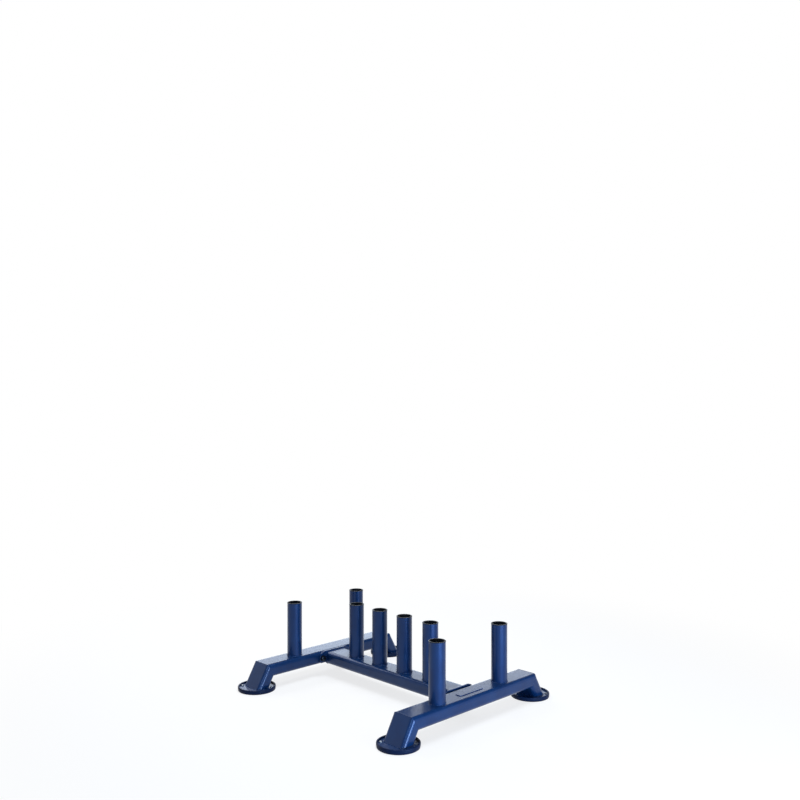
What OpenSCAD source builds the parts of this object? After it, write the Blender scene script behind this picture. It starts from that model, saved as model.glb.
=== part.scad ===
// Floor rack with eight upright holder tubes on an H-shaped base.
// X runs along the centre beam, Y along the cross rails, Z up. The origin is on the floor, mid-base.

/* [Box section] */
// Width of the box section across its wide face
section_w = 100; // [80:1:120]
// Height of the box section
section_h = 50; // [40:1:70]
// Wall of the box section
section_wall = 3; // [2:0.5:5]
// Outer corner radius of the box section
section_corner = 15; // [6:0.5:15]

/* [Base] */
// Distance between the centre lines of the two cross rails
rail_spacing = 810; // [760:10:1100]
// Length of a cross rail along its top, from mitre to mitre
rail_length = 672; // [620:4:900]
// Height of the cross rails' top face above the floor
rail_top = 100; // [90:1:180]
// How far the centre beam's top face lies below the rails' top face
beam_drop = 2; // [0:0.5:6]
// Angle of the legs below level
leg_slope = 60; // [50:1:70]

/* [Holder tubes] */
// Outer diameter of a holder tube
holder_d = 60.3; // [58:0.1:66]
// Wall of a holder tube
holder_wall = 3; // [2:0.1:4]
// Length of a holder tube above its seat
holder_h = 215; // [120:5:300]
// Distance between the two holder tubes on a cross rail
rail_pitch = 340; // [240:5:420]
// Distance between neighbouring holder tubes on the centre beam
beam_pitch = 140; // [90:5:150]
// Bevel on the outer edge of a holder tube's mouth
holder_bevel = 0.6; // [0.2:0.1:0.8]

/* [Liners and bump pads] */
// Wall of the plastic liner inside a holder tube
liner_wall = 1; // [0.8:0.1:1.6]
// Thickness of the liner's lip on top of the holder tube
lip_t = 1.6; // [1:0.1:3]
// How far the lip stands out past the holder tube's outside
lip_over = 0.7; // [0:0.1:2]
// Bevel at the liner's mouth
mouth_bevel = 0.8; // [0.3:0.1:0.9]
// Thickness of the rubber bump pad at the bottom of a holder tube
pad_t = 8; // [4:0.5:15]

/* [End plates and bolts] */
// How far an end plate stands out past the centre beam's side
plate_ear = 32; // [30:1:45]
// Thickness of a beam end plate
plate_t = 8; // [5:0.5:12]
// How far an end plate stands above the rails' top face
plate_rise = 3; // [0:0.5:8]
// How far an end plate's middle reaches past the centre beam's bottom face
plate_sink = 1; // [0:0.5:4]
// How far the lower edge of an end plate's ears lies above the centre beam's bottom face
plate_lift = 8; // [4:0.5:10]
// Radius of an end plate's upper corners
plate_top_r = 30; // [10:1:34]
// Radius of an end plate's lower corners
plate_low_r = 8; // [4:1:14]
// Thread diameter of the joint bolts
bolt_d = 12; // [8:1:12]
// Length of a joint bolt under its head
bolt_len = 30; // [25:1:35]
// Distance of a joint bolt from the centre beam's side
bolt_off = 17; // [15:0.5:19]

/* [Feet] */
// Diameter of a rubber foot
foot_d = 150; // [146:1:180]
// Height of a rubber foot's rim
foot_h = 16; // [13:0.5:24]
// Rubber left under the steel foot plate
foot_floor = 6; // [5:0.5:9]
// Width of a rubber foot's rim
foot_rim = 7; // [4:0.5:8]
// Bevel on a rubber foot's outer edges
foot_bevel = 1.5; // [0.5:0.1:2.5]
// Thickness of a steel foot plate
disc_t = 5; // [4:0.5:6]
// Thread diameter of the foot screws
screw_d = 6; // [4:1:8]
// Distance of a foot screw from the foot's centre, along X
screw_x = 48; // [45:1:50]
// Distance of a foot screw from the foot's centre, along Y
screw_y = 36; // [32:1:38]

/* [Name plate] */
// Length of the blank name plate
badge_l = 130; // [80:1:200]
// Width of the blank name plate
badge_w = 30; // [20:1:50]
// Thickness of the blank name plate
badge_t = 2; // [1:0.5:3]
// Corner radius of the blank name plate
badge_r = 11; // [4:1:14]

/* [Hidden] */

$fn = 64;

// Clearances between pieces that fit into each other.
liner_gap = 0.35;
pad_gap = 0.5;
disc_gap = 0.5;
thread_gap = 0.3;
hole_gap = 0.5;
liner_foot_gap = 0.5;
// Extra length that lets a cut run clean through.
over = 1;

// Holder tubes on the centre beam.
beam_count = 4;

// Standard hardware worked out from the thread diameter.
bolt_flats = 1.6*bolt_d;
bolt_head_h = 0.64*bolt_d;
washer_d = 2*bolt_d;
washer_t = 0.2*bolt_d;
nut_d = 1.6*bolt_d;
nut_h = 0.9*bolt_d;
screw_head_d = 1.8*screw_d;
screw_head_h = 0.6*screw_d;
screw_len = disc_t+0.65*foot_floor;

// The section's corners leave its sides flat where the nuts sit.
corner_r = min(section_corner, (section_h-nut_d)/2);

// Plan sizes of the joints.
plate_w = section_w+2*plate_ear;
bolt_y = section_w/2+bolt_off;

// Heights.
rail_bottom = rail_top-section_h;
rail_mid = rail_top-section_h/2;
beam_top = rail_top-beam_drop;
disc_top = foot_floor+disc_t;

// Plan places.
rail_x = rail_spacing/2;
rail_face_x = rail_x-section_w/2;
beam_half = rail_face_x-plate_t;
rail_half = rail_length/2;
holder_y = rail_pitch/2;

// Side outline of rail and leg: the mitre halves the angle between them.
mitre_y = rail_half-section_h*tan(leg_slope/2);
leg_run = (rail_top-disc_top)/tan(leg_slope);
leg_outer_y = rail_half+leg_run;
leg_inner_y = mitre_y+(rail_bottom-disc_top)/tan(leg_slope);
foot_y = (leg_outer_y+leg_inner_y)/2;
leg_len = (rail_top-disc_top)/sin(leg_slope);

// Holder, liner and pad radii.
holder_r = holder_d/2;
holder_bore_r = holder_r-holder_wall;
liner_r = holder_bore_r-liner_gap;
liner_bore_r = liner_r-liner_wall;
lip_r = holder_r+lip_over;
pad_r = holder_bore_r-pad_gap;

// Foot radii.
foot_r = foot_d/2;
recess_r = foot_r-foot_rim;
disc_r = recess_r-disc_gap;

// Section outline with its corners rounded by true arcs, centred on the origin.
module rounded_rect(w, h, r) {
    square([w-2*r, h], center = true);
    square([w, h-2*r], center = true);
    for (sx = [-1, 1], sy = [-1, 1])
        translate([sx*(w/2-r), sy*(h/2-r)]) circle(r);
}

// Hollow box section running from y0 to y1, with its top face at z = 0.
module box_section(y0, y1) {
    translate([0, y1, -section_h/2])
        rotate([90, 0, 0])
            linear_extrude(y1-y0)
                difference() {
                    rounded_rect(section_w, section_h, corner_r);
                    rounded_rect(section_w-2*section_wall, section_h-2*section_wall,
                                 corner_r-section_wall);
                }
}

// Slab across the whole width of the box section, with the given outline in Y and Z.
module side_slab(points) {
    translate([-section_w/2-over, 0, 0])
        rotate([90, 0, 90])
            linear_extrude(section_w+2*over)
                polygon(points);
}

// Places its children at each bolt of a joint, on the inner face of the rail on that side.
// Each bolt's axis is local +Z, which points away from the rail.
module at_bolts(side) {
    for (s = [-1, 1])
        translate([side*rail_face_x, s*bolt_y, rail_mid])
            rotate([0, -side*90, 0])
                children();
}

// Places its children at the foot on the given side and end.
module at_foot(side, end) {
    translate([side*rail_x, end*foot_y, 0]) children();
}

// Places its children at both screws of a foot.
module at_screws() {
    for (s = [-1, 1])
        translate([s*screw_x, s*screw_y, 0]) children();
}

// Cross rail: box section with both ends mitred, drilled for the joint bolts.
module rail(side) {
    color("#2a3f63")
        difference() {
            translate([side*rail_x, 0, 0])
                intersection() {
                    translate([0, 0, rail_top]) box_section(-rail_half-over, rail_half+over);
                    side_slab([[-rail_half, rail_top], [rail_half, rail_top],
                               [mitre_y, rail_bottom], [-mitre_y, rail_bottom]]);
                }
            at_bolts(side)
                translate([0, 0, -section_wall-over])
                    cylinder(d = bolt_d+2*hole_gap, h = section_wall+2*over);
        }
}

// Leg: the same box section, mitred to the rail and cut level on the foot plate.
module leg(side, end) {
    color("#2a3f63")
        translate([side*rail_x, 0, 0])
            mirror([0, end < 0 ? 1 : 0, 0])
                intersection() {
                    translate([0, rail_half, rail_top])
                        rotate([-leg_slope, 0, 0])
                            box_section(-section_h, leg_len+section_h);
                    side_slab([[rail_half, rail_top], [leg_outer_y, disc_top],
                               [leg_inner_y, disc_top], [mitre_y, rail_bottom]]);
                }
}

// Centre beam between the two end plates.
module centre_beam() {
    color("#2c3b4d")
        translate([0, 0, beam_top])
            rotate([0, 0, -90])
                box_section(-beam_half, beam_half);
}

// End plate welded to the beam and bolted to the rail's inner face.
module end_plate(side) {
    color("#2a3f63")
        difference() {
            translate([side > 0 ? beam_half : -beam_half-plate_t, 0, 0])
                rotate([90, 0, 90])
                    linear_extrude(plate_t)
                        plate_outline();
            at_bolts(side)
                translate([0, 0, -over])
                    cylinder(d = bolt_d+2*hole_gap, h = plate_t+2*over);
        }
}

// End plate outline in Y and Z: the ears have one radius at their lower corners and another at
// the upper ones, and the middle follows the beam's section down.
module plate_outline() {
    low = beam_top-section_h+plate_lift;
    high = rail_top+plate_rise;
    mid = (low+high)/2;
    low_run = plate_low_r+over;
    top_run = plate_top_r+over;
    intersection() {
        translate([0, mid+low_run/2])
            rounded_rect(plate_w, high-low+low_run, plate_low_r);
        translate([0, mid-top_run/2])
            rounded_rect(plate_w, high-low+top_run, plate_top_r);
    }
    translate([0, beam_top-section_h/2])
        rounded_rect(section_w+2*plate_sink, section_h+2*plate_sink, corner_r+plate_sink);
}

// Places its children on the seat of a holder tube: on a rail, or on the beam by number.
module at_rail_seat(side, end) {
    translate([side*rail_x, end*holder_y, rail_top]) children();
}
module at_beam_seat(number) {
    translate([(number-(beam_count+1)/2)*beam_pitch, 0, beam_top]) children();
}

// Holder tube with a bevelled mouth.
module holder() {
    color("#26344f")
        rotate_extrude()
            polygon([[holder_bore_r, 0], [holder_r, 0], [holder_r, holder_h-holder_bevel],
                     [holder_r-holder_bevel, holder_h], [holder_bore_r, holder_h]]);
}

// Plastic liner hanging by its lip on the holder tube's mouth.
module liner() {
    top = holder_h+lip_t;
    color("#15181d")
        rotate_extrude()
            polygon([[liner_bore_r, pad_t+liner_foot_gap], [liner_r, pad_t+liner_foot_gap],
                     [liner_r, holder_h], [lip_r, holder_h], [lip_r, top-lip_t/2],
                     [lip_r-lip_t/2, top], [liner_bore_r+mouth_bevel, top],
                     [liner_bore_r, top-mouth_bevel]]);
}

// Rubber bump pad at the bottom of a holder tube.
module pad() {
    color("#1b1d20") cylinder(r = pad_r, h = pad_t);
}

// Round steel plate that the leg is welded to.
module foot_plate() {
    color("#2c3b4d")
        difference() {
            translate([0, 0, foot_floor]) cylinder(r = disc_r, h = disc_t);
            at_screws()
                translate([0, 0, foot_floor-over])
                    cylinder(d = screw_d+2*hole_gap, h = disc_t+2*over);
        }
}

// Rubber cup under the foot plate, with a raised rim and blind screw holes.
module rubber_foot() {
    color("#141a26")
        difference() {
            rotate_extrude()
                polygon([[0, 0], [foot_r-foot_bevel, 0], [foot_r, foot_bevel],
                         [foot_r, foot_h-foot_bevel], [foot_r-foot_bevel, foot_h],
                         [recess_r, foot_h], [recess_r, foot_floor], [0, foot_floor]]);
            at_screws()
                translate([0, 0, disc_top-screw_len-thread_gap])
                    cylinder(d = screw_d+2*thread_gap, h = screw_len);
        }
}

// Pan-head screw, head down on the foot plate's top face.
module foot_screw() {
    translate([0, 0, disc_top-screw_len]) cylinder(d = screw_d, h = screw_len);
    translate([0, 0, disc_top]) cylinder(d = screw_head_d, h = screw_head_h);
}

module foot_screws() {
    color("#8f969e")
        for (side = [-1, 1], end = [-1, 1])
            at_foot(side, end) at_screws() foot_screw();
}

// Hexagon bolt: the washer lies on the end plate and the head on the washer.
module joint_bolts(side) {
    seat = plate_t+washer_t;
    color("#20242b")
        at_bolts(side) {
            translate([0, 0, seat-bolt_len]) cylinder(d = bolt_d, h = bolt_len+over);
            translate([0, 0, seat]) cylinder(d = bolt_flats/cos(30), h = bolt_head_h, $fn = 6);
        }
}

module joint_washers(side) {
    color("#3a3f47")
        at_bolts(side)
            translate([0, 0, plate_t])
                difference() {
                    cylinder(d = washer_d, h = washer_t);
                    translate([0, 0, -over])
                        cylinder(d = bolt_d+2*thread_gap, h = washer_t+2*over);
                }
}

// Round nut welded to the inside of the rail's wall.
module joint_nuts(side) {
    color("#7d848c")
        at_bolts(side)
            translate([0, 0, -section_wall-nut_h])
                difference() {
                    cylinder(d = nut_d, h = nut_h);
                    translate([0, 0, -over])
                        cylinder(d = bolt_d+2*thread_gap, h = nut_h+2*over);
                }
}

// Blank plate on top of the right rail, beside the beam joint.
module name_plate() {
    color("#5f7391")
        translate([rail_x, 0, rail_top])
            linear_extrude(badge_t)
                rounded_rect(badge_w, badge_l, badge_r);
}

rail(-1);  // left_rail
rail(1);  // right_rail
leg(-1, -1);  // left_front_leg
leg(-1, 1);  // left_back_leg
leg(1, -1);  // right_front_leg
leg(1, 1);  // right_back_leg
centre_beam();
end_plate(-1);  // left_end_plate
end_plate(1);  // right_end_plate
at_rail_seat(-1, -1) holder();  // left_front_holder
at_rail_seat(-1, 1) holder();  // left_back_holder
at_rail_seat(1, -1) holder();  // right_front_holder
at_rail_seat(1, 1) holder();  // right_back_holder
at_beam_seat(1) holder();  // beam_holder_1
at_beam_seat(2) holder();  // beam_holder_2
at_beam_seat(3) holder();  // beam_holder_3
at_beam_seat(4) holder();  // beam_holder_4
at_rail_seat(-1, -1) liner();  // left_front_liner
at_rail_seat(-1, 1) liner();  // left_back_liner
at_rail_seat(1, -1) liner();  // right_front_liner
at_rail_seat(1, 1) liner();  // right_back_liner
at_beam_seat(1) liner();  // beam_liner_1
at_beam_seat(2) liner();  // beam_liner_2
at_beam_seat(3) liner();  // beam_liner_3
at_beam_seat(4) liner();  // beam_liner_4
at_rail_seat(-1, -1) pad();  // left_front_pad
at_rail_seat(-1, 1) pad();  // left_back_pad
at_rail_seat(1, -1) pad();  // right_front_pad
at_rail_seat(1, 1) pad();  // right_back_pad
at_beam_seat(1) pad();  // beam_pad_1
at_beam_seat(2) pad();  // beam_pad_2
at_beam_seat(3) pad();  // beam_pad_3
at_beam_seat(4) pad();  // beam_pad_4
at_foot(-1, -1) foot_plate();  // left_front_foot_plate
at_foot(-1, 1) foot_plate();  // left_back_foot_plate
at_foot(1, -1) foot_plate();  // right_front_foot_plate
at_foot(1, 1) foot_plate();  // right_back_foot_plate
at_foot(-1, -1) rubber_foot();  // left_front_foot
at_foot(-1, 1) rubber_foot();  // left_back_foot
at_foot(1, -1) rubber_foot();  // right_front_foot
at_foot(1, 1) rubber_foot();  // right_back_foot
foot_screws();
joint_bolts(-1);  // left_joint_bolts
joint_bolts(1);  // right_joint_bolts
joint_washers(-1);  // left_joint_washers
joint_washers(1);  // right_joint_washers
joint_nuts(-1);  // left_joint_nuts
joint_nuts(1);  // right_joint_nuts
name_plate();
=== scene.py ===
import math

import bmesh
import bpy
from mathutils import Matrix, Vector


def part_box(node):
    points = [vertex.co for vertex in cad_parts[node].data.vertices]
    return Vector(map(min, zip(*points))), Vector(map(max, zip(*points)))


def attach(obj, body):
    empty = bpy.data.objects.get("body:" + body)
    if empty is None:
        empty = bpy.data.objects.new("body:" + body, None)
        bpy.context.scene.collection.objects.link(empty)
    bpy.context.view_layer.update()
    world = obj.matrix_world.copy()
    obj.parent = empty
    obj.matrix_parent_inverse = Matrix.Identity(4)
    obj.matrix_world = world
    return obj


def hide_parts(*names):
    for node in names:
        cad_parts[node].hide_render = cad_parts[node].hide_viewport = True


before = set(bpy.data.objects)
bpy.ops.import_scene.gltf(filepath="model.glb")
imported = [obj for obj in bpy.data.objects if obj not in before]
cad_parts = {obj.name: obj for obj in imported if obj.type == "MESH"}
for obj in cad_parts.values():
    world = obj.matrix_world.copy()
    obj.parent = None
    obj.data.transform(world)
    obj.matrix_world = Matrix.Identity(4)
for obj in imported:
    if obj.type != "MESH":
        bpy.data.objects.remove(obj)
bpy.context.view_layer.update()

# Floor rack with eight upright holder tubes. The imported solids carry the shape, and this script
# gives them their finishes and adds what a welder and a moulder leave: weld beads, broken edges,
# chamfered heads and rounded rubber. Metres, X along the centre beam, Z up.

MM = 0.001
BODY = "root"
SIDES = {"left": -1, "right": 1}
ENDS = {"front": -1, "back": 1}
HOLDERS = [f"{side}_{end}" for side in SIDES for end in ENDS]
HOLDER_NODES = [f"{name}_holder" for name in HOLDERS] + [f"beam_holder_{n}" for n in (1, 2, 3, 4)]

# Sizes that a node's box doesn't give.
SECTION_W = 100*MM
SECTION_H = 50*MM
SECTION_R = 15*MM
LEG_SLOPE = math.radians(60)
FOOT_FLOOR = 6*MM
FOOT_RIM = 7*MM
BOLT_D = 12*MM
BOLT_LEN = 30*MM
WASHER_R = 12*MM
SCREW_D = 6*MM
SCREW_LEN = 9*MM
SCREW_X = 48*MM
SCREW_Y = 36*MM
NAME_PLATE_R = 11*MM

# Edges that turn by more than this are drawn sharp.
SHARP_ANGLE = math.radians(35)


# Nodes, colours and materials

def srgb(hex_code):
    """Linear RGBA of an sRGB hex colour."""
    channels = [int(hex_code[i:i+2], 16)/255 for i in (1, 3, 5)]
    linear = [c/12.92 if c <= 0.04045 else ((c+0.055)/1.055)**2.4 for c in channels]
    return (*linear, 1.0)


def add_node(tree, kind, inputs=None, **settings):
    """Adds a node. settings are its own properties, and inputs its sockets' values or links."""
    made = tree.nodes.new(kind)
    for name, value in settings.items():
        setattr(made, name, value)
    for name, value in (inputs or {}).items():
        if isinstance(value, bpy.types.NodeSocket):
            tree.links.new(value, made.inputs[name])
        else:
            made.inputs[name].default_value = value
    return made


def new_material(name):
    """An empty node material, and its tree."""
    material = bpy.data.materials.new(name)
    material.use_nodes = True
    material.node_tree.nodes.clear()
    return material, material.node_tree


def close_material(tree, **sockets):
    """Adds the surface shader with these sockets, and the output."""
    shader = add_node(tree, "ShaderNodeBsdfPrincipled",
                      {name.replace("_", " "): value for name, value in sockets.items()})
    add_node(tree, "ShaderNodeOutputMaterial", {"Surface": shader.outputs[0]})


def grain(tree, size, detail=2.0, roughness=0.5):
    """Noise in Object coordinates whose lumps are about size metres across."""
    place = add_node(tree, "ShaderNodeTexCoord").outputs["Object"]
    return add_node(tree, "ShaderNodeTexNoise",
                    {"Vector": place, "Scale": 1/size, "Detail": detail, "Roughness": roughness}
                    ).outputs["Fac"]


def drift(tree, low, high, *pattern):
    """A value that drifts between low and high over a surface. pattern is what grain takes."""
    # Most of the noise lies between 0.3 and 0.7.
    return add_node(tree, "ShaderNodeMapRange",
                    {"Value": grain(tree, *pattern), "From Min": 0.3, "From Max": 0.7,
                     "To Min": low, "To Max": high}).outputs["Result"]


def clouded(tree, dark, light, *pattern):
    """A colour that drifts between two hex colours. pattern is what grain takes."""
    return add_node(tree, "ShaderNodeMix",
                    {0: drift(tree, 0, 1, *pattern), 6: srgb(dark), 7: srgb(light)},
                    data_type="RGBA").outputs[2]


def relief(tree, depth, *pattern, over=None):
    """The normal of a surface whose grain is depth metres deep, over another relief or none."""
    inputs = {"Height": grain(tree, *pattern), "Distance": depth, "Strength": 1.0}
    if over:
        inputs["Normal"] = over
    return add_node(tree, "ShaderNodeBump", inputs).outputs["Normal"]


def powder_coat(name, deep, pale):
    """Navy metallic polyester powder under a clear coat, sprayed and baked: fine flake brightens
    the blue where a surface turns from the lamp to the eye, the clear film gives an even gloss
    with a slight orange peel, and the tone drifts a little where the powder is thicker."""
    material, tree = new_material(name)
    # Orange peel is about 7 mm across and a few thousandths deep.
    peel = relief(tree, 0.004*MM, 7*MM, 1)
    close_material(tree, Base_Color=clouded(tree, deep, pale, 60*MM, 3), Metallic=0.3, IOR=1.45,
                   Specular_IOR_Level=0.1, Normal=peel, Roughness=drift(tree, 0.38, 0.44, 25*MM),
                   Coat_Weight=0.8, Coat_Roughness=0.2, Coat_IOR=1.3, Coat_Normal=peel)
    return material


def moulded_plastic(name):
    """Black polyethylene liner, injection moulded: satin, with a fine eroded texture."""
    material, tree = new_material(name)
    # Spark-eroded texture of about 0.1 mm, drawn at 0.4 mm so that it shows.
    texture = relief(tree, 0.03*MM, 0.4*MM)
    close_material(tree, Base_Color=clouded(tree, "#0c1017", "#131a24", 20*MM), IOR=1.5,
                   Specular_IOR_Level=0.3, Normal=texture, Roughness=drift(tree, 0.4, 0.52, 8*MM))
    return material


def moulded_rubber(name, dark, light, gloss):
    """Rubber, compression moulded: low sheen, cloudy bloom and a fine grain."""
    material, tree = new_material(name)
    # The mould's grain of about 0.2 mm is drawn at 0.6 mm so that it shows, over the slight waves
    # of about 9 mm that the rubber takes as it cools.
    grit = relief(tree, 0.05*MM, 0.6*MM, 3)
    waves = relief(tree, 0.15*MM, 9*MM, 1, over=grit)
    close_material(tree, Base_Color=clouded(tree, dark, light, 18*MM, 4, 0.6), IOR=1.5,
                   Specular_IOR_Level=0.1, Normal=waves,
                   Roughness=drift(tree, gloss, gloss+0.12, 5*MM))
    return material


def plated_steel(name, dark, light, rough):
    """Steel hardware, plated or blacked: metal with a soft cloudy finish and fine turning marks."""
    material, tree = new_material(name)
    # Marks of about 0.1 mm, drawn at 0.5 mm so that they show.
    marks = relief(tree, 0.02*MM, 0.5*MM)
    close_material(tree, Base_Color=clouded(tree, dark, light, 3*MM, 3), Metallic=1.0,
                   Normal=marks, Roughness=drift(tree, rough, rough+0.15, 2*MM))
    return material


def make_materials():
    """The finish of each slot in the record."""
    return {
        "frame_paint": powder_coat("metallic_powder_coat_frame", "#0a2e5c", "#0d3667"),
        # Same paint as the frame, drawn a touch darker: painted shade on the holder tubes.
        "holder_paint": powder_coat("metallic_powder_coat_holder_painted_shade", "#092c5a", "#0c3465"),
        # Same paint as the frame, drawn a touch lighter: a painted highlight on the blank plate on
        # the rail's top.
        "name_plate_paint": powder_coat("metallic_powder_coat_blank_painted_highlight", "#0c3160", "#0f396b"),
        "liner_plastic": moulded_plastic("moulded_liner_plastic"),
        "pad_rubber": moulded_rubber("moulded_pad_rubber", "#0d0e10", "#17191c", 0.6),
        "foot_rubber": moulded_rubber("moulded_foot_rubber", "#071835", "#0a2044", 0.42),
        "black_steel": plated_steel("black_oxide_steel", "#262b34", "#363d49", 0.32),
        "zinc_steel": plated_steel("zinc_plated_steel", "#8b9198", "#a6acb2", 0.34),
    }


# Mesh helpers

def new_piece(name, mesh, slot, *nodes):
    """Puts a finished mesh on the rack's one body, as the stand-in for these nodes."""
    piece = bpy.data.objects.new(name, mesh)
    bpy.context.scene.collection.objects.link(piece)
    if not mesh.materials:
        mesh.materials.append(MATERIALS[slot])
    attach(piece, BODY)
    if nodes:
        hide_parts(*nodes)
    return piece


def finished_mesh(name, shape):
    """The mesh of a shape, smooth except at its sharper edges."""
    mesh = bpy.data.meshes.new(name)
    shape.to_mesh(mesh)
    shape.free()
    mesh.shade_smooth()
    mesh.set_sharp_from_angle(angle=SHARP_ANGLE)
    return mesh


def plan_centre(low, high, height):
    """The middle of a box as seen from above, at this height."""
    return Vector(((low.x+high.x)/2, (low.y+high.y)/2, height))


def turned(shape, outline, centre, steps=96):
    """Adds a turned form: outline holds (radius, height) pairs from the axis round to the axis."""
    rings = []
    for radius, height in outline:
        if radius < 1e-7:
            rings.append([shape.verts.new(centre+Vector((0, 0, height)))])
            continue
        ring = []
        for step in range(steps):
            angle = 2*math.pi*step/steps
            ring.append(shape.verts.new(centre+Vector((radius*math.cos(angle),
                                                       radius*math.sin(angle), height))))
        rings.append(ring)
    for lower, upper in zip(rings, rings[1:]):
        for step in range(steps):
            after = (step+1) % steps
            corners = [lower[step % len(lower)], lower[after % len(lower)],
                       upper[after % len(upper)], upper[step % len(upper)]]
            unique = list(dict.fromkeys(corners))
            if len(unique) > 2:
                shape.faces.new(unique)


def rounded(points, radii, steps=6):
    """Rounds the corners of an open outline of (radius, height) pairs, each by its own radius."""
    out = [points[0]]
    for before, here, after, radius in zip(points, points[1:], points[2:], radii):
        here_v = Vector(here)
        to_before = (Vector(before)-here_v).normalized()
        to_after = (Vector(after)-here_v).normalized()
        half = to_before.angle(to_after)/2
        if radius <= 0 or half > math.pi/2-1e-3:
            out.append(here)
            continue
        middle = here_v+(to_before+to_after).normalized()*radius/math.sin(half)
        start = here_v+to_before*radius/math.tan(half)-middle
        end = here_v+to_after*radius/math.tan(half)-middle
        turn = start.angle_signed(end)
        for step in range(steps+1):
            out.append(tuple(middle+Matrix.Rotation(-turn*step/steps, 2) @ start))
    out.append(points[-1])
    return out


def rounded_loop(w, h, r, steps=8):
    """Points of a rounded rectangle about the origin."""
    points = []
    for sx, sy, start in ((1, 1, 0), (-1, 1, 90), (-1, -1, 180), (1, -1, 270)):
        for step in range(steps+1):
            angle = math.radians(start+90*step/steps)
            points.append(Vector((sx*(w/2-r)+r*math.cos(angle),
                                  sy*(h/2-r)+r*math.sin(angle), 0)))
    return points


def section_loop():
    """Outline of the box section that the rails, the legs and the beam are made of."""
    return rounded_loop(SECTION_W, SECTION_H, SECTION_R)


def stretched(points, factor):
    """The outline that a slanting cut gives: the same one, but taller."""
    return [Vector((point.x, point.y*factor, point.z)) for point in points]


def edge_loops(name, loops):
    """A mesh of closed edge loops, the paths that a weld follows."""
    mesh = bpy.data.meshes.new(name)
    points, edges = [], []
    for loop in loops:
        first = len(points)
        count = len(loop)
        points += loop
        edges += [(first+i, first+(i+1) % count) for i in range(count)]
    mesh.from_pydata(points, edges, [])
    return mesh


# Geometry Nodes

def new_tree(name, **inputs):
    """A geometry tree with a Geometry input, these named inputs, and a Geometry output."""
    tree = bpy.data.node_groups.new(name, "GeometryNodeTree")
    tree.interface.new_socket(name="Geometry", in_out="INPUT", socket_type="NodeSocketGeometry")
    for label, kind in inputs.items():
        tree.interface.new_socket(name=label.replace("_", " "), in_out="INPUT",
                                  socket_type="NodeSocket"+kind)
    tree.interface.new_socket(name="Geometry", in_out="OUTPUT", socket_type="NodeSocketGeometry")
    return tree, add_node(tree, "NodeGroupInput").outputs


def close_tree(tree, shape, finish):
    """Realizes the instances, sets the finish and ends the tree."""
    real = add_node(tree, "GeometryNodeRealizeInstances", {"Geometry": shape}).outputs[0]
    dressed = add_node(tree, "GeometryNodeSetMaterial", {"Geometry": real, "Material": finish})
    add_node(tree, "NodeGroupOutput", {"Geometry": dressed.outputs[0]})


def grown(name, mesh, tree, **values):
    """The plain mesh that a tree makes of this one."""
    start = bpy.data.objects.new(name, mesh)
    bpy.context.scene.collection.objects.link(start)
    modifier = start.modifiers.new(tree.name, "NODES")
    modifier.node_group = tree
    sockets = {item.name: item.identifier for item in tree.interface.items_tree
               if item.in_out == "INPUT"}
    for label, value in values.items():
        modifier[sockets[label.replace("_", " ")]] = value
    done = start.evaluated_get(bpy.context.evaluated_depsgraph_get())
    result = bpy.data.meshes.new_from_object(done)
    result.name = name
    start.modifiers.clear()
    bpy.data.objects.remove(start)
    return result


def bead_tree():
    """Weld bead along closed paths: overlapping ripples with a slightly uneven width."""
    tree, given = new_tree("weld_bead", Radius="Float", Ripple="Float", Depth="Float",
                           Finish="Material")
    path = add_node(tree, "GeometryNodeMeshToCurve", {"Mesh": given["Geometry"]}).outputs[0]
    even = add_node(tree, "GeometryNodeResampleCurve", {"Curve": path, "Length": 0.5*MM},
                    mode="LENGTH").outputs[0]
    # Each ripple narrows to its end, by Depth times the square of the share that is past.
    dip = add_node(tree, "GeometryNodeSplineParameter").outputs["Length"]
    for operation, other in (("DIVIDE", given["Ripple"]), ("FRACT", 0.0), ("POWER", 2.0),
                             ("MULTIPLY", given["Depth"])):
        dip = add_node(tree, "ShaderNodeMath", {0: dip, 1: other}, operation=operation).outputs[0]
    # The bead's radius is Radius times this width, a little over a half.
    unevenness = add_node(tree, "ShaderNodeTexNoise", {"Scale": 90.0, "Detail": 1.0}).outputs[0]
    even_width = add_node(tree, "ShaderNodeMath", {0: unevenness, 1: 0.16, 2: 0.5},
                          operation="MULTIPLY_ADD").outputs[0]
    width = add_node(tree, "ShaderNodeMath", {0: even_width, 1: dip},
                     operation="SUBTRACT").outputs[0]
    profile = add_node(tree, "GeometryNodeCurvePrimitiveCircle",
                       {"Resolution": 14, "Radius": given["Radius"]}).outputs[0]
    bead = add_node(tree, "GeometryNodeCurveToMesh",
                    {"Curve": even, "Profile Curve": profile, "Scale": width}).outputs[0]
    smooth = add_node(tree, "GeometryNodeSetShadeSmooth", {"Geometry": bead}).outputs[0]
    close_tree(tree, smooth, given["Finish"])
    return tree


def placed_tree():
    """Puts a copy of the Fastener on each point, turned about its axis by chance."""
    tree, given = new_tree("placed_fasteners", Fastener="Object", Seed="Int", Finish="Material")
    turn = add_node(tree, "FunctionNodeRandomValue", {"Max": 2*math.pi, "Seed": given["Seed"]},
                    data_type="FLOAT").outputs["Value"]
    axis = add_node(tree, "ShaderNodeCombineXYZ", {"Z": turn}).outputs[0]
    rotation = add_node(tree, "FunctionNodeEulerToRotation", {"Euler": axis}).outputs[0]
    shape = add_node(tree, "GeometryNodeObjectInfo",
                     {"Object": given["Fastener"]}).outputs["Geometry"]
    copies = add_node(tree, "GeometryNodeInstanceOnPoints",
                      {"Points": given["Geometry"], "Instance": shape,
                       "Rotation": rotation}).outputs[0]
    close_tree(tree, copies, given["Finish"])
    return tree


# Welds

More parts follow.
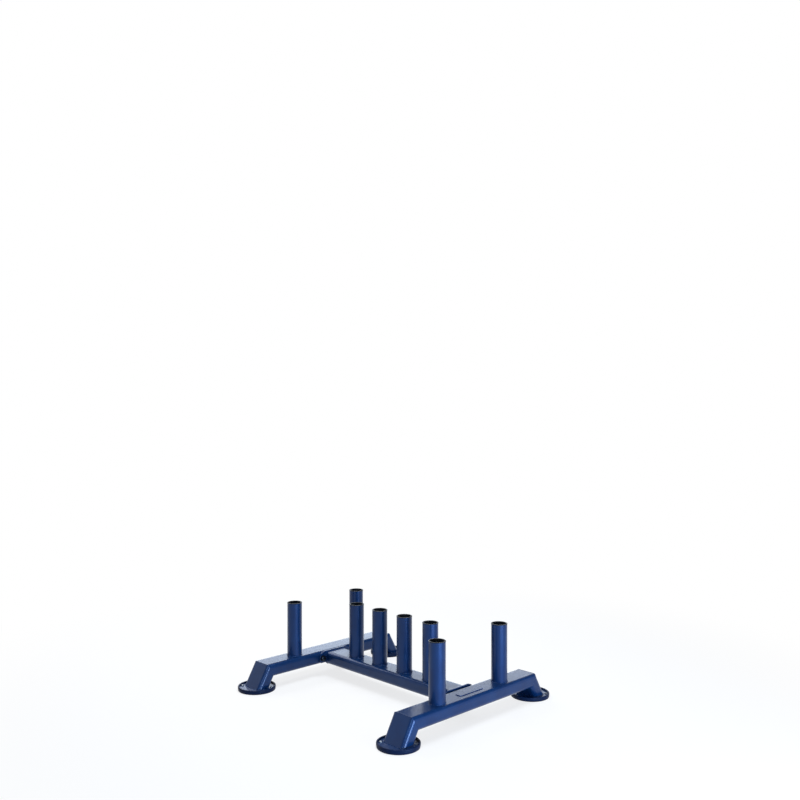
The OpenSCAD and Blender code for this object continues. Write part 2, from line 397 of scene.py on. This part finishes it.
def fillet_welds():
    """Beads round the foot of each holder, each leg's end and each end of the centre beam."""
    paths = []
    for node in HOLDER_NODES:
        low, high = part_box(node)
        radius = (high.x-low.x)/2+0.4*MM
        centre = plan_centre(low, high, low.z+0.4*MM)
        paths.append([centre+Vector((radius*math.cos(a), radius*math.sin(a), 0))
                      for a in (2*math.pi*i/96 for i in range(96))])
    level_cut = stretched(section_loop(), 1/math.sin(LEG_SLOPE))
    for side in SIDES:
        for end in ENDS:
            low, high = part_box(f"{side}_{end}_foot_plate")
            centre = plan_centre(low, high, high.z+0.3*MM)
            paths.append([centre+point for point in level_cut])
    low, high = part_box("centre_beam")
    upright = Matrix(((0, 0, 1), (1, 0, 0), (0, 1, 0)))
    for place in (low.x, high.x):
        centre = Vector((place-math.copysign(0.4*MM, place), 0, (low.z+high.z)/2))
        paths.append([centre+upright @ point for point in section_loop()])
    mesh = grown("fillet_weld_beads", edge_loops("fillet_weld_paths", paths), BEADS, Radius=3*MM,
                 Ripple=2.4*MM, Depth=0.16, Finish=MATERIALS["frame_paint"])
    new_piece("fillet_weld_beads", mesh, "frame_paint")


def mitre_seams():
    """Low seams, dressed down before painting, where the legs meet the rails."""
    paths = []
    slant = 1/math.cos(LEG_SLOPE/2)
    mitre_cut = stretched(section_loop(), slant)
    for side in SIDES:
        low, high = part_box(f"{side}_rail")
        for way in ENDS.values():
            up = Vector((0, way*math.sin(LEG_SLOPE/2), math.cos(LEG_SLOPE/2)))
            corner = Vector(((low.x+high.x)/2, way*high.y, high.z))
            centre = corner-up*SECTION_H*slant/2
            paths.append([centre+Vector((point.x, 0, 0))+up*point.y for point in mitre_cut])
    mesh = grown("mitre_seams", edge_loops("mitre_paths", paths), BEADS, Radius=0.9*MM,
                 Ripple=1.6*MM, Depth=0.12, Finish=MATERIALS["frame_paint"])
    new_piece("mitre_seams", mesh, "frame_paint")


# Fasteners

def hexagon_bolt():
    """Hexagon bolt about Z, its head standing on z = 0, with the chamfer that a lathe leaves."""
    flats = 1.6*BOLT_D
    head = 0.64*BOLT_D
    face = 0.475*flats
    steps = 72
    shape = bmesh.new()
    rings = [[], [], [], []]
    for step in range(steps):
        angle = 2*math.pi*step/steps
        off_flat = (math.degrees(angle)+30) % 60-30
        reach = flats/2/math.cos(math.radians(off_flat))
        way = Vector((math.cos(angle), math.sin(angle), 0))
        drop = (reach-face)*math.tan(math.radians(30))
        for ring, radius, height in zip(rings, (0.96*flats/2, reach, reach, face),
                                        (0, 0.3*MM, head-drop, head)):
            ring.append(shape.verts.new(way*radius+Vector((0, 0, height))))
    for lower, upper in zip(rings, rings[1:]):
        for step in range(steps):
            after = (step+1) % steps
            shape.faces.new((lower[step], lower[after], upper[after], upper[step]))
    shape.faces.new(rings[-1])
    shape.faces.new(rings[0][::-1])
    turned(shape, [(0, -BOLT_LEN), (0.4*BOLT_D, -BOLT_LEN), (BOLT_D/2, -BOLT_LEN+0.1*BOLT_D),
                   (BOLT_D/2, 0), (0, 0)], Vector(), 32)
    return shape


def pan_head_screw():
    """Pan-head screw about Z, its head standing on z = 0."""
    radius = 0.9*SCREW_D
    head = 0.6*SCREW_D
    shape = bmesh.new()
    dome = rounded([(radius, 0), (radius, 0.72*head), (0.55*radius, head), (0, head)],
                   [0.35*radius, 0.5*radius])
    shank = [(0, -SCREW_LEN), (0.35*SCREW_D, -SCREW_LEN), (SCREW_D/2, -SCREW_LEN+1*MM),
             (SCREW_D/2, 0)]
    turned(shape, shank+dome, Vector(), 48)
    return shape


def cross_recess():
    """The driver's cross: two tapered blades at right angles."""
    top = 0.6*SCREW_D+1*MM
    shape = bmesh.new()
    for turn in (0, 90):
        blade = bmesh.ops.create_cube(shape, size=1)["verts"]
        for vert in blade:
            wide = 0.66*SCREW_D if vert.co.z > 0 else 0.2*SCREW_D
            vert.co = Vector((2*vert.co.x*wide, vert.co.y*0.2*SCREW_D,
                              top if vert.co.z > 0 else 0.18*SCREW_D))
        bmesh.ops.rotate(shape, verts=blade, cent=(0, 0, 0),
                         matrix=Matrix.Rotation(math.radians(turn), 3, "Z"))
    return shape


def loose_object(name, shape):
    """An object with this shape's mesh, to be copied into place and then removed."""
    bmesh.ops.recalc_face_normals(shape, faces=shape.faces)
    made = bpy.data.objects.new(name, finished_mesh(name, shape))
    bpy.context.scene.collection.objects.link(made)
    return made


def points_mesh(name, points):
    """A mesh of loose points, the places of the fasteners."""
    mesh = bpy.data.meshes.new(name)
    mesh.from_pydata(points, [], [])
    return mesh


def joint_bolts():
    """Two bolts a joint, on the washers of the beam's end plates."""
    bolt = loose_object("bolt_pattern", hexagon_bolt())
    for number, (side, way) in enumerate(SIDES.items()):
        node = f"{side}_joint_bolts"
        low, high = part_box(f"{side}_joint_washers")
        seat = low.x if way > 0 else high.x
        points = [(-way*y, (low.z+high.z)/2, 0) for y in (low.y+WASHER_R, high.y-WASHER_R)]
        mesh = grown(node+"_hexagon", points_mesh(node, points), FASTENERS, Fastener=bolt,
                     Seed=number, Finish=MATERIALS["black_steel"])
        # The bolts' axis turns from Z to lie along the beam, with the heads towards its middle.
        mesh.transform(Matrix(((0, 0, -way, seat), (-way, 0, 0, 0), (0, 1, 0, 0), (0, 0, 0, 1))))
        new_piece(node+"_hexagon", mesh, "black_steel", node)
    bpy.data.objects.remove(bolt)


def foot_screws():
    """Two cross-recessed screws a foot, each stopped at its own turn."""
    screw = loose_object("screw_pattern", pan_head_screw())
    recess = loose_object("recess_pattern", cross_recess())
    cut = screw.modifiers.new("recess", "BOOLEAN")
    cut.operation = "DIFFERENCE"
    cut.solver = "EXACT"
    cut.use_self = True
    cut.object = recess
    points = []
    for side in SIDES:
        for end in ENDS:
            low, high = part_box(f"{side}_{end}_foot_plate")
            for s in (-1, 1):
                points.append(((low.x+high.x)/2+s*SCREW_X, (low.y+high.y)/2+s*SCREW_Y, high.z))
    mesh = grown("pan_head_screws", points_mesh("screw_places", points), FASTENERS, Fastener=screw,
                 Seed=7, Finish=MATERIALS["zinc_steel"])
    new_piece("pan_head_screws", mesh, "zinc_steel", "foot_screws")
    bpy.data.objects.remove(screw)
    bpy.data.objects.remove(recess)


# End plates and name plate

def end_plate(side):
    """Cut plate with its sharp edges broken before painting."""
    node = f"{side}_end_plate"
    shape = bmesh.new()
    shape.from_mesh(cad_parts[node].data)
    bmesh.ops.remove_doubles(shape, verts=shape.verts, dist=1e-5)
    bmesh.ops.dissolve_limit(shape, angle_limit=math.radians(0.5), verts=shape.verts,
                             edges=shape.edges)
    sharp = [edge for edge in shape.edges
             if len(edge.link_faces) == 2 and edge.calc_face_angle() > math.radians(60)]
    bmesh.ops.bevel(shape, geom=sharp, offset=0.9*MM, segments=3, profile=0.5, affect="EDGES",
                    clamp_overlap=True)
    new_piece(node+"_dressed", finished_mesh(node+"_dressed", shape), "frame_paint", node)


def name_plate():
    """Blank raised plate with a rolled-over edge."""
    low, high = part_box("name_plate")
    wide, tall = high.x-low.x, high.y-low.y
    rolled = 0.7*MM
    levels = [(0, low.z), (0, high.z-rolled)]
    for degrees in (30, 60, 90):
        angle = math.radians(degrees)
        levels.append((rolled*(1-math.cos(angle)), high.z-rolled*(1-math.sin(angle))))
    shape = bmesh.new()
    rings = []
    for inset, height in levels:
        loop = rounded_loop(wide-2*inset, tall-2*inset, NAME_PLATE_R-inset)
        centre = plan_centre(low, high, height)
        rings.append([shape.verts.new(centre+point) for point in loop])
    count = len(rings[0])
    for lower, upper in zip(rings, rings[1:]):
        for i in range(count):
            j = (i+1) % count
            shape.faces.new((lower[i], lower[j], upper[j], upper[i]))
    for flat in (shape.faces.new(rings[-1]), shape.faces.new(rings[0][::-1])):
        for edge in flat.edges:
            edge.smooth = False
    bmesh.ops.recalc_face_normals(shape, faces=shape.faces)
    for face in shape.faces:
        face.smooth = True
    mesh = bpy.data.meshes.new("name_plate_blank")
    shape.to_mesh(mesh)
    shape.free()
    new_piece("name_plate_blank", mesh, "name_plate_paint", "name_plate")


# Rubber feet

def rubber_foot(side, end):
    """Moulded cup: rounded rim, slightly leaning wall and a thin parting line round its middle."""
    node = f"{side}_{end}_foot"
    low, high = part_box(node)
    outer = (high.x-low.x)/2
    top = high.z
    line = 0.45*top
    proud = 0.25*MM
    outline = [(0, 0), (outer-1.4*MM, 0), (outer-0.5*MM, line-0.5*MM), (outer-0.5*MM+proud, line),
               (outer-0.5*MM, line+0.5*MM), (outer, top-4*MM), (outer-0.6*MM, top),
               (outer-FOOT_RIM, top), (outer-FOOT_RIM, FOOT_FLOOR), (0, FOOT_FLOOR)]
    radii = [1.2*MM, 0, 0, 0, 3*MM, 2.2*MM, 2*MM, 0.6*MM]
    shape = bmesh.new()
    turned(shape, rounded(outline, radii), plan_centre(low, high, 0), 128)
    bmesh.ops.remove_doubles(shape, verts=shape.verts, dist=1e-6)
    bmesh.ops.recalc_face_normals(shape, faces=shape.faces)
    new_piece(node+"_moulded", finished_mesh(node+"_moulded", shape), "foot_rubber", node)


# Stage

# How much of the floor's white is its own, so that its shadows stay light.
FLOOR_LIFT = 0.76


def make_floor():
    """White floor that keeps the rack's shadow near it and runs into the white background."""
    bpy.ops.mesh.primitive_plane_add(size=60)
    floor = bpy.context.object
    floor.name = "studio_floor"
    material, tree = new_material("matt_white_floor")
    place = add_node(tree, "ShaderNodeTexCoord").outputs["Object"]
    away = add_node(tree, "ShaderNodeVectorMath", {0: place}, operation="LENGTH").outputs["Value"]
    far = add_node(tree, "ShaderNodeMapRange", {"Value": away, "From Min": 0.9, "From Max": 2.2},
                   interpolation_type="SMOOTHSTEP").outputs["Result"]
    # The rack is lit by the paint as it is. Only what is seen of the floor is lifted to white.
    paint = add_node(tree, "ShaderNodeBsdfDiffuse", {"Color": srgb("#b0b0b0")}).outputs[0]
    shade = add_node(tree, "ShaderNodeBsdfDiffuse", {"Color": srgb("#8c8c8c")}).outputs[0]
    lift = add_node(tree, "ShaderNodeEmission", {"Strength": FLOOR_LIFT}).outputs[0]
    lifted = add_node(tree, "ShaderNodeAddShader", {0: shade, 1: lift}).outputs[0]
    white = add_node(tree, "ShaderNodeEmission", {"Strength": 1.0}).outputs[0]
    shown = add_node(tree, "ShaderNodeMixShader", {0: far, 1: lifted, 2: white}).outputs[0]
    seen = seen_ray(tree)
    surface = add_node(tree, "ShaderNodeMixShader", {0: seen, 1: paint, 2: shown}).outputs[0]
    add_node(tree, "ShaderNodeOutputMaterial", {"Surface": surface})
    floor.data.materials.append(material)


def seen_ray(tree):
    """1 for rays of the camera and for those seen in gloss or through glass, otherwise 0."""
    path = add_node(tree, "ShaderNodeLightPath").outputs
    seen = path["Is Camera Ray"]
    for kind in ("Is Glossy Ray", "Is Transmission Ray"):
        seen = add_node(tree, "ShaderNodeMath", {0: seen, 1: path[kind]},
                        operation="MAXIMUM").outputs[0]
    return seen


def make_world():
    """Plain soft light from all round, and a white background for what is seen."""
    world = bpy.data.worlds.new("studio_air")
    world.use_nodes = True
    tree = world.node_tree
    tree.nodes.clear()
    air = add_node(tree, "ShaderNodeBackground", {"Color": srgb("#f2f6ff"), "Strength": 0.15})
    # The white ends above the picture and is dark overhead, so that tops seen steeply stay blue.
    way = add_node(tree, "ShaderNodeTexCoord").outputs["Generated"]
    height = add_node(tree, "ShaderNodeSeparateXYZ", {"Vector": way}).outputs["Z"]
    wall = add_node(tree, "ShaderNodeMapRange",
                    {"Value": height, "From Min": 0.42, "From Max": 0.54,
                     "To Min": 1.0, "To Max": 0.06},
                    interpolation_type="SMOOTHSTEP").outputs["Result"]
    white = add_node(tree, "ShaderNodeBackground", {"Color": (1, 1, 1, 1), "Strength": wall})
    mix = add_node(tree, "ShaderNodeMixShader",
                   {0: seen_ray(tree), 1: air.outputs[0], 2: white.outputs[0]})
    add_node(tree, "ShaderNodeOutputWorld", {"Surface": mix.outputs[0]})
    bpy.context.scene.world = world


def stand(thing, place, aim):
    """Puts a lamp or the camera in its place, looking along aim."""
    turn = Vector(aim).to_track_quat("-Z", "Y").to_matrix().to_4x4()
    thing.matrix_world = Matrix.Translation(place) @ turn
    bpy.context.scene.collection.objects.link(thing)


def soft_lamp(name, place, target, size, power, colour):
    """Rectangular soft lamp at place, turned to target. size is width and height in metres."""
    data = bpy.data.lights.new(name, "AREA")
    data.shape = "RECTANGLE"
    data.size, data.size_y = size
    data.energy = power
    data.color = srgb(colour)[:3]
    lamp = bpy.data.objects.new(name, data)
    lamp.visible_camera = False
    stand(lamp, place, Vector(target)-Vector(place))


def make_lamps():
    """Six soft lamps round the rack. The side lamp draws the bright blue along its right sides, and
    the high and back lamps lighten its tops."""
    soft_lamp("key_lamp", (1.4, -2.6, 1.7), (0, 0, 0.1), (0.25, 0.25), 12, "#b4daff")
    soft_lamp("left_lamp", (-1.2, -2.2, 0.6), (0, 0, 0.1), (1.0, 0.8), 0.5, "#ffffff")
    soft_lamp("side_lamp", (2.3, -0.35, 0.22), (0, -0.1, 0.1), (1.3, 0.4), 46, "#c4e2ff")
    soft_lamp("back_lamp", (-2.4, 2.4, 0.7), (0, 0, 0.1), (3.6, 0.8), 21, "#cde2f8")
    soft_lamp("high_lamp", (-2.2, 0.2, 2.0), (0, 0, 0.1), (2.2, 1.0), 26, "#ffffff")
    soft_lamp("top_lamp", (0.3, 0.2, 3.0), (0, 0, 0.1), (1.5, 1.5), 60, "#eef6ff")


def make_camera():
    """Eye height and lens worked out from the rack's own edges in the picture."""
    data = bpy.data.cameras.new("view")
    data.sensor_width = 36
    data.lens = 39.25
    camera = bpy.data.objects.new("view", data)
    stand(camera, (2.4872, -2.3872, 1.1502), (-0.71497, 0.69916, 0.00129))
    bpy.context.scene.camera = camera


MATERIALS = make_materials()
BEADS = bead_tree()
FASTENERS = placed_tree()


def dress_nodes():
    """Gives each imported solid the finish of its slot."""
    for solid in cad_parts.values():
        for place in solid.material_slots:
            place.material = MATERIALS[place.material.name.split(".")[0]]


bpy.context.scene.view_settings.view_transform = "Standard"
make_camera()
make_world()
make_lamps()
make_floor()
dress_nodes()
for side_name in SIDES:
    for end_name in ENDS:
        rubber_foot(side_name, end_name)
    end_plate(side_name)
fillet_welds()
mitre_seams()
joint_bolts()
foot_screws()
name_plate()
